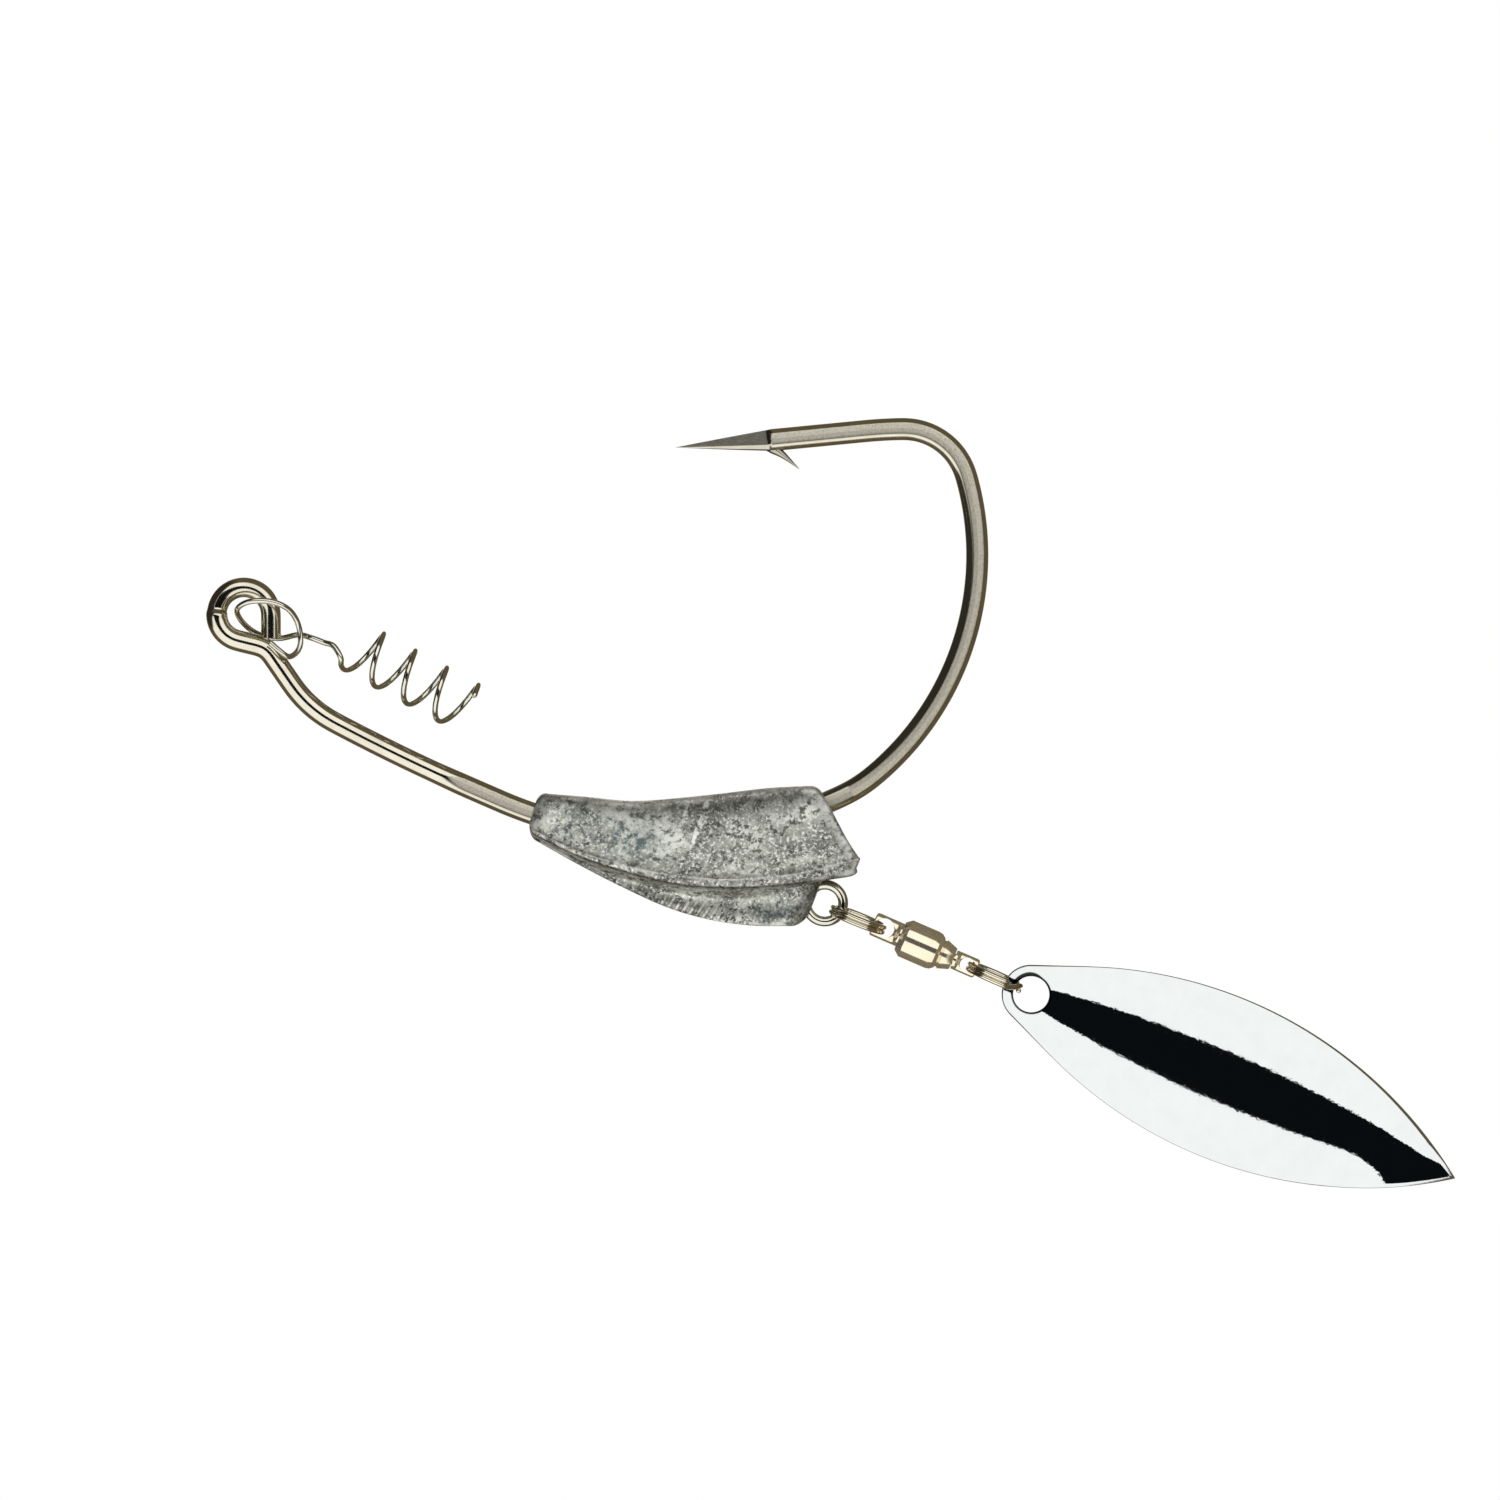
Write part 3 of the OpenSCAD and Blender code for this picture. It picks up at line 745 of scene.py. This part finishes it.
# The wire's way through the hook's eye, round behind it and down the straight leg
LOOP_ROUTE = [
    (-1.1, -1.35, -2.6), (-1.4, -1.35, -3.6), (-1.5, -1.0, -4.4), (-0.8, -0.5, -4.8), (0.1, -0.2, -4.6),
    (1.1, -0.3, -3.9), (1.7, -0.9, -3.0), (1.8, -1.35, -1.9), (1.5, -1.4, -0.8), (0.9, -1.15, 0.2),
    (0.1, -0.4, 0.6), (-0.6, 0.85, -0.2), (-0.9, 1.55, -1.5), (-0.6, 1.55, -3.0), (0.25, 0.65, -4.3),
    (0.44, 0.1, -5.3), (0.5, -0.2, -6.3), (0.55, -0.55, -7.1),
]
# The coil, measured in turns; the loop joins it after COIL_START
COIL_R = 1.9
COIL_PITCH = 2.74
COIL_START = 0.43
COIL_END = 4.18
COIL_ORIGIN = np.array([1.02, 0.3, -10.01])
COIL_AXIS = np.array([-0.084, -0.174, -0.981])
COIL_UP = np.array([0.996, 0.0, -0.085])
COIL_FRONT = np.array([0.015, -0.985, 0.173])


def coil_points(turns):
    """Points of the coil's middle line after the given turns."""
    angle = 2 * math.pi * turns[:, None]
    return (COIL_ORIGIN + COIL_AXIS * COIL_PITCH * (turns[:, None] - 1)
            + COIL_R * (np.cos(angle) * COIL_UP + np.sin(angle) * COIL_FRONT))


def make_screw_lock():
    """One spring wire: the loop round the hook's eye, the straight leg and the coil."""
    lead_in = coil_points(COIL_START + np.array([-0.07, 0, 0.07]))
    stretch = 12
    loop = through(np.vstack([LOOP_ROUTE, lead_in]), stretch)[:-stretch]
    coil = coil_points(np.arange(COIL_START, COIL_END, 1 / 72))
    path = np.vstack([loop[:-1], coil])
    rings = tube_points(path, round_ends(path, SPRING_R, 0.09), 24)
    piece = mesh_piece("screw_lock_wire", rings.reshape(-1, 3), skin_faces(len(rings), 24), sharp_deg=60)
    finish_piece(piece, BRIGHT_WIRE, "bright_wire", "bait_lock", "screw_lock")


# ---------------------------------------------------------------- split rings

SPLIT_R = 2.1
SPLIT_WIRE_R = 0.2
CROSSING_DEG = 46


def make_split_ring(name, centre, body, node, crossing_at, twist, lean=0.0, shift=0.0):
    """One wire wound twice; it steps across itself once, between its two cut ends.

    twist and lean tip the ring out of its plane, and shift moves it along X."""
    turn = np.radians(np.linspace(CROSSING_DEG, 720, 420))
    step = smoothstep(360, 360 + CROSSING_DEG, np.degrees(turn)) * 2 - 1
    angle = turn + math.radians(crossing_at)
    aside = step * 0.95 * SPLIT_WIRE_R + twist * np.sin(angle)
    path = np.stack([aside + shift + lean * np.cos(angle), SPLIT_R * np.sin(angle),
                     -SPLIT_R * np.cos(angle)], axis=1) + centre
    rings = tube_points(path, round_ends(path, SPLIT_WIRE_R, 0.08), 24)
    piece = mesh_piece(name, rings.reshape(-1, 3), skin_faces(len(rings), 24), sharp_deg=60)
    finish_piece(piece, RING_NICKEL, "ring_nickel", body, node)


# ---------------------------------------------------------------- swivel

NECK_R = 0.5
CAVITY_R = 1.05
CAVITY_DEPTH = 2.95
SHAFT_R = 0.45
WASHER_T = 0.15
BALL_D = 0.5
# Play between the shaft's head and the balls
HEAD_PLAY = 0.03
LUG_SIDES = 72
TAB_SIDES = 96
TAB_RINGS = 60


def make_barrel():
    """A hollow turned shell: a shoulder, a belt and a cone that narrows to the neck."""
    top, bottom = BARREL_TOP, BARREL_BOTTOM
    outer = [
        (1.14, top), (1.5, top - 0.45), (1.5, top - 2.66), (1.43, top - 2.98), (1.22, top - 3.24),
        (1.12, top - 3.29), (1.06, top - 3.36), (1.12, top - 3.43), (1.17, top - 3.48), (0.86, bottom),
    ]
    floor = top - CAVITY_DEPTH
    inner = [(NECK_R, bottom), (NECK_R, floor), (CAVITY_R, floor), (CAVITY_R, top)]
    rings = turned(softened(outer + inner, 0.05), CHAIN_X)
    piece = mesh_piece("swivel_barrel_shell", rings.reshape(-1, 3),
                       skin_faces(len(rings), rings.shape[1], joined=True), sharp_deg=40)
    finish_piece(piece, SWIVEL_NICKEL, "swivel_nickel", "swivel_body", "swivel_barrel")


def pressed_tab(top, bottom, x, half_width, half_thick, round_from):
    """Rings of a lug pressed flat from a round stem, and still round at its stem end."""
    corner = 0.22
    turning = 0.16
    angle = np.arange(TAB_SIDES) * 2 * math.pi / TAB_SIDES
    across, through_it = np.cos(angle), np.sin(angle)
    rings = []
    for h in np.linspace(0, 1, TAB_RINGS):
        z = top + (bottom - top) * h
        short = (corner - min(abs(top - z), corner)) / corner
        tip = 1 - math.sqrt(1 - short ** 2)
        wide = half_width - tip * corner
        pressed = 1 - float(smoothstep(round_from, round_from + turning, h))
        thick = half_thick * pressed + wide * (1 - pressed) - tip * 0.1
        power = 1 - 0.2 * pressed
        a = wide * np.sign(across) * np.abs(across) ** power
        b = thick * np.sign(through_it) * np.abs(through_it) ** power
        rings.append(np.stack([x + a, b, np.full(TAB_SIDES, z)], axis=1))
    return rings


def hole_cutter(hole_z, hole_r, half_thick, x):
    """Rings of a plug that drills a hole along Y and rolls its two rims."""
    rim = 0.09
    reach = 3.0
    flare = hole_r + rim + 2.65
    profile = np.array([(0.001, -reach), (flare, -reach), (hole_r + rim, -half_thick),
                        (hole_r + rim * 0.3, -half_thick + rim * 0.35), (hole_r, -half_thick + rim),
                        (hole_r, half_thick - rim), (hole_r + rim * 0.3, half_thick - rim * 0.35),
                        (hole_r + rim, half_thick), (flare, reach), (0.001, reach)])
    spun = turned(profile, 0, LUG_SIDES)
    return np.stack([spun[..., 0] + x, spun[..., 2], -spun[..., 1] + hole_z], axis=2)


def drilled_tab(hole_z, hole_r, top, bottom, x, half_width, half_thick, round_from):
    """Points and faces of a pressed lug with its hole."""
    rings = pressed_tab(top, bottom, x, half_width, half_thick, round_from)
    tab = mesh_piece("tab", np.array(rings).reshape(-1, 3), skin_faces(len(rings), TAB_SIDES))
    plug = hole_cutter(hole_z, hole_r, half_thick, x)
    cutter = mesh_piece("cutter", plug.reshape(-1, 3), skin_faces(LUG_SIDES, plug.shape[1], joined=True))
    return carve(tab, cutter)


def carve(solid, cutter):
    """Points and faces of solid with cutter taken away; both helpers are removed."""
    modifier = solid.modifiers.new("cut", "BOOLEAN")
    modifier.object = cutter
    modifier.operation = "DIFFERENCE"
    modifier.solver = "EXACT"
    graph = bpy.context.evaluated_depsgraph_get()
    mesh = solid.evaluated_get(graph).to_mesh()
    points = np.array([v.co for v in mesh.vertices]) / MM
    faces = [tuple(p.vertices) for p in mesh.polygons]
    solid.evaluated_get(graph).to_mesh_clear()
    for helper in (solid, cutter):
        bpy.data.objects.remove(helper)
    return points, faces


def make_front_lug():
    """The flat lug that closes the barrel's top, with the plug that holds it in the cavity."""
    low, high = box_mm("front_lug")
    tab = drilled_tab(FRONT_RING[2] - SPLIT_R + 0.03, 0.74, high[2], BARREL_TOP - 0.3, CHAIN_X + 0.06,
                      half_width=0.92, half_thick=0.62, round_from=0.7)
    plug_r, plug_top = CAVITY_R - 0.01, BARREL_TOP - 0.02
    profile = [(0.001, low[2]), (plug_r, low[2]), (plug_r, plug_top), (0.001, plug_top)]
    plug = turned(softened(profile, 0.02), CHAIN_X, LUG_SIDES)
    points, faces = joined_parts([tab, (plug, skin_faces(LUG_SIDES, plug.shape[1], joined=True))])
    piece = mesh_piece("front_lug_eye", points, faces, sharp_deg=40)
    finish_piece(piece, SWIVEL_NICKEL, "swivel_nickel", "swivel_body", "front_lug")


def make_shaft():
    """The headed shaft that turns in the barrel's neck, with the rear lug below it."""
    low, high = box_mm("swivel_pin")
    head_low = BARREL_TOP - CAVITY_DEPTH + WASHER_T + BALL_D + HEAD_PLAY
    head_r, shaft_low = CAVITY_R - 0.1, BARREL_BOTTOM - 0.4
    profile = [(0.001, high[2]), (head_r, high[2]), (head_r, head_low), (SHAFT_R, head_low),
               (SHAFT_R, shaft_low), (0.001, shaft_low)]
    shaft = turned(softened(profile, 0.03), CHAIN_X, LUG_SIDES)
    tab = drilled_tab(REAR_HOLE[2], 0.56, low[2], BARREL_BOTTOM - 0.06, CHAIN_X,
                      half_width=0.75, half_thick=0.5, round_from=0.76)
    points, faces = joined_parts([(shaft, skin_faces(LUG_SIDES, shaft.shape[1], joined=True)), tab])
    piece = mesh_piece("swivel_shaft_eye", points, faces, sharp_deg=40)
    finish_piece(piece, SWIVEL_NICKEL, "swivel_nickel", "spinner_pin", "swivel_pin")


# ---------------------------------------------------------------- blade

# The leaf is two arcs, joined to a round end by a straight tapering neck; heights are about its hole
LEAF_R = 33.3
LEAF_W = 6.1
LEAF_WIDEST = -15.7
LEAF_END_R = 2.2
NECK_Z = -3.17
NECK_DEG = 22.1
BLADE_T = 0.45
BLADE_HOLE_R = 1.35
BLADE_BOW_R = 110
BLADE_RIM_SLOPE = 21
BLADE_HANG = 3
BLADE_HOLE_Z = REAR_RING[2] - 3.07
BLADE_ASIDE = 0.1
HOLE_EDGE = 0.09
RIM_EDGE = 0.1
# Rings of points round the hole, close together where its edge is rolled, then out to the rim
NEAR_HOLE = np.array([0.0, 0.05, 0.1, 0.15, 0.2, 0.26, 0.33])
RINGS_OUT = 55
TOWARD_RING = np.array([0.6, 0.8])


def leaf_half_width(z):
    """Half width of the leaf at a height about its hole."""
    away = np.asarray(z, float) - LEAF_WIDEST
    return np.sqrt(np.maximum(LEAF_R ** 2 - away ** 2, 0)) - (LEAF_R - LEAF_W)


def leaf_outline(count):
    """Outline of the leaf about its hole, evenly spaced, from the tip round and back."""
    tip = LEAF_WIDEST - math.sqrt(LEAF_R ** 2 - (LEAF_R - LEAF_W) ** 2)
    heights = tip + (LEAF_END_R - tip) * np.sin(np.linspace(0, math.pi / 2, 1500))
    slant = math.radians(NECK_DEG)
    cap = np.sqrt(np.maximum(LEAF_END_R ** 2 - np.maximum(heights, 0) ** 2, 0))
    straight = (LEAF_END_R - heights * math.sin(slant)) / math.cos(slant)
    half = np.where(heights > NECK_Z, straight, leaf_half_width(heights))
    half = np.where(heights > LEAF_END_R * math.sin(slant), cap, half)
    right = np.stack([np.maximum(half, 0), heights], axis=1)
    line = np.vstack([right, right[-2::-1] * np.array([-1, 1])])
    run = np.concatenate([[0], np.cumsum(np.linalg.norm(np.diff(line, axis=0), axis=1))])
    spots = np.linspace(0, run[-1], count, endpoint=False)
    return np.stack([np.interp(spots, run, line[:, k]) for k in (0, 1)], axis=1)


def blade_face(x, z):
    """Depth of the blade's front face: bowed along its length and cupped across it."""
    crown = BLADE_BOW_R - np.sqrt(BLADE_BOW_R ** 2 - (z - LEAF_WIDEST) ** 2)
    at_hole = BLADE_BOW_R - math.sqrt(BLADE_BOW_R ** 2 - LEAF_WIDEST ** 2)
    wide = np.maximum(leaf_half_width(z), 1.7)
    cup = 0.5 * math.tan(math.radians(BLADE_RIM_SLOPE)) * x ** 2 / wide
    tip_side = smoothstep(-26.0, -32.0, z) * (x < 0)
    return crown - at_hole + cup * (1 - 0.85 * tip_side)


def blade_loop(direction, reach):
    """Points round one cut of the sheet from the hole to the rim and back, and the painted shade round
    the hole.
    """
    first = BLADE_HOLE_R + HOLE_EDGE + NEAR_HOLE[-1]
    share = np.linspace(0, 1, RINGS_OUT + 1)[1:]
    out = np.append(BLADE_HOLE_R + HOLE_EDGE + NEAR_HOLE, first + (reach - RIM_EDGE - first) * share)
    spots = out[:, None] * direction
    front = blade_face(spots[:, 0], spots[:, 1])
    end = reach * direction
    end_face = float(blade_face(end[0], end[1]))
    inner = BLADE_HOLE_R * direction
    hole_face = float(blade_face(inner[0], inner[1]))
    near_rim = (reach - RIM_EDGE * 0.3) * direction
    near_hole = (BLADE_HOLE_R + HOLE_EDGE * 0.3) * direction
    loop = [(s[0], f, s[1]) for s, f in zip(spots, front)]
    loop += [(near_rim[0], end_face + 0.03, near_rim[1]), (end[0], end_face + 0.13, end[1]),
             (end[0], end_face + BLADE_T - 0.13, end[1]),
             (near_rim[0], end_face + BLADE_T - 0.03, near_rim[1])]
    loop += [(s[0], f + BLADE_T, s[1]) for s, f in zip(spots[::-1], front[::-1])]
    hole_wall = [(near_hole[0], hole_face + BLADE_T - 0.03, near_hole[1]),
                 (inner[0], hole_face + BLADE_T - 0.1, inner[1]), (inner[0], hole_face + 0.1, inner[1]),
                 (near_hole[0], hole_face + 0.03, near_hole[1])]
    # The punched edge is rounded; the painted shade round it is widest towards the ring and covers the
    # hole's wall
    shade_width = 0.04 + 0.17 * float(smoothstep(0.35, 0.95, direction @ TOWARD_RING))
    burr = smoothstep(shade_width + 0.05, shade_width - 0.02, out - BLADE_HOLE_R - HOLE_EDGE)
    plain = np.zeros(len(loop) - len(burr))
    return loop + hole_wall, np.concatenate([burr, plain, np.ones(len(hole_wall))])


def make_blade():
    """The pressed sheet as one loop of points for each direction from its hole."""
    outline = leaf_outline(560)
    away = np.linalg.norm(outline, axis=1)
    loops, burrs = zip(*(blade_loop(spot / reach, reach) for spot, reach in zip(outline, away)))
    loops = np.array(loops)
    tilt = np.array(Matrix.Rotation(math.radians(BLADE_HANG), 3, "X"))
    hole = np.array([CHAIN_X - BLADE_ASIDE, 0, BLADE_HOLE_Z])
    points = loops.reshape(-1, 3) @ tilt.T + hole
    piece = mesh_piece("willow_blade_sheet", points, skin_faces(len(loops), loops.shape[1], joined=True),
                       sharp_deg=75, burr=np.concatenate(burrs))
    finish_piece(piece, BLADE_CHROME, "blade_chrome", "blade", "willow_blade")


# ---------------------------------------------------------------- all the pieces

make_hook()
make_weight()
make_belly_eye()
make_screw_lock()
make_split_ring("front_ring_wire", FRONT_RING, "front_ring", "front_split_ring",
                crossing_at=118, twist=0.15, lean=0.06, shift=-0.12)
make_barrel()
make_front_lug()
make_shaft()
make_split_ring("rear_ring_wire", REAR_RING, "rear_ring", "rear_split_ring",
                crossing_at=-60, twist=0.12)
make_blade()

for node_name, node in frame["nodes"].items():
    if node_name == "race_washer" or node_name.startswith("bearing_ball"):
        node.data.materials.clear()
        node.data.materials.append(BEARING_STEEL)


# ---------------------------------------------------------------- camera, floor and light

# In metres, as all the lengths in this section are
VIEW_WIDTH = 0.1125
VIEW_AIM = Vector((0.005845, 0, -0.03884))
VIEW_ROLL = math.radians(66.5)
VIEW_DISTANCE = 1.0

FLOOR_R = 0.22
FLOOR_DROP = 0.045
FLOOR_SIDES = 128


def make_camera():
    """A long lens square on the hook's side, rolled so that the chain hangs to the lower right."""
    data = bpy.data.cameras.new("camera")
    data.sensor_width = 36
    data.lens = data.sensor_width * VIEW_DISTANCE / VIEW_WIDTH
    data.clip_start = 0.01
    camera = bpy.data.objects.new("camera", data)
    right = Vector((math.cos(VIEW_ROLL), 0, -math.sin(VIEW_ROLL)))
    up = Vector((math.sin(VIEW_ROLL), 0, math.cos(VIEW_ROLL)))
    back = Vector((0, -1, 0))
    turned_to_view = Matrix((right, up, back)).transposed().to_4x4()
    camera.matrix_world = Matrix.Translation(VIEW_AIM + back * VIEW_DISTANCE) @ turned_to_view
    bpy.context.scene.collection.objects.link(camera)
    bpy.context.scene.camera = camera
    bpy.context.scene.view_settings.view_transform = "Standard"


def make_floor():
    """A pale matt disc well below the lure, which metal doesn't mirror."""
    low = cad_bounds[0].z - FLOOR_DROP
    turn = np.arange(FLOOR_SIDES) * 2 * math.pi / FLOOR_SIDES
    level = np.full(FLOOR_SIDES, low)
    rings = [np.stack([radius * np.cos(turn), radius * np.sin(turn), level], axis=1)
             for radius in (FLOOR_R * 0.02, FLOOR_R)]
    faces = skin_faces(2, FLOOR_SIDES, capped=False) + [tuple(range(FLOOR_SIDES))]
    floor = mesh_piece("floor", np.concatenate(rings) / MM, faces)
    material, tree, shader = new_material("pale_floor")
    n = Nodes(tree)
    n.link(n.steps(n.noise(300, detail=3), (0.3, 0.86), (0.7, 0.9)), shader.inputs["Base Color"])
    shader.inputs["Roughness"].default_value = 0.9
    floor.data.materials.append(material)
    floor.visible_glossy = False


def make_studio():
    """A bright tent round the object, by direction: open behind the camera, brown where it ends."""
    world = bpy.data.worlds.new("studio")
    bpy.context.scene.world = world
    world.use_nodes = True
    tree = world.node_tree
    n = Nodes(tree)
    n.coords = tree.nodes.new("ShaderNodeTexCoord").outputs["Generated"]
    split = n.add("ShaderNodeSeparateXYZ")
    n.link(n.coords, split.inputs[0])
    x, y, z = split.outputs
    front = n.math("MULTIPLY", y, -1.0)
    white = (1.24, 1.24, 1.22)
    brown = (0.13, 0.108, 0.068)
    murk = (0.035, 0.032, 0.026)
    # The unlit sides are brown, and murkier towards the top
    wings = n.mix(n.steps(z, (0.55, 0.0), (0.75, 1.0)), brown, murk)
    # The white front leans a little to one side, and ends above and below
    lean = n.math("MULTIPLY_ADD", x, -0.22, front)
    turn = n.math("MULTIPLY_ADD", lean, 0.5, 0.5)
    ends = n.steps(n.math("ABSOLUTE", z), (0.61, 1.0), (0.69, 0.0))
    lit = n.math("MULTIPLY", n.steps(turn, (0.66, 0.0), (0.7, 1.0)), ends)
    # A white wall stands straight behind the object
    behind = n.steps(n.math("MULTIPLY_ADD", front, 0.5, 0.5), (0.03, 1.0), (0.06, 0.0))
    tent = n.mix(n.math("MAXIMUM", lit, behind), wings, white)
    # The opening behind the camera is a narrow black strip
    narrow = n.steps(n.math("ABSOLUTE", x), (0.234, 1.0), (0.242, 0.0))
    tall = n.steps(n.math("ABSOLUTE", z), (0.61, 1.0), (0.65, 0.0))
    facing = n.steps(front, (0.0, 0.0), (0.1, 1.0))
    opening = n.math("MULTIPLY", n.math("MULTIPLY", narrow, tall), facing)
    seen = n.mix(opening, tent, (0.004, 0.005, 0.006))
    backdrop = n.add("ShaderNodeBackground")
    backdrop.inputs["Color"].default_value = (1, 1, 1, 1)
    backdrop.inputs["Strength"].default_value = 1.0
    glow = tree.nodes["Background"]
    n.link(seen, glow.inputs["Color"])
    glow.inputs["Strength"].default_value = 1.0
    # The tent's dark parts show in polished metal only; plain surfaces see it evenly bright
    path = n.add("ShaderNodeLightPath")
    plain = n.math("MAXIMUM", path.outputs["Is Camera Ray"], path.outputs["Is Diffuse Ray"])
    blend = n.add("ShaderNodeMixShader")
    n.link(plain, blend.inputs[0])
    n.link(glow.outputs[0], blend.inputs[1])
    n.link(backdrop.outputs[0], blend.inputs[2])
    n.link(blend.outputs[0], tree.nodes["World Output"].inputs["Surface"])


make_camera()
make_floor()
make_studio()
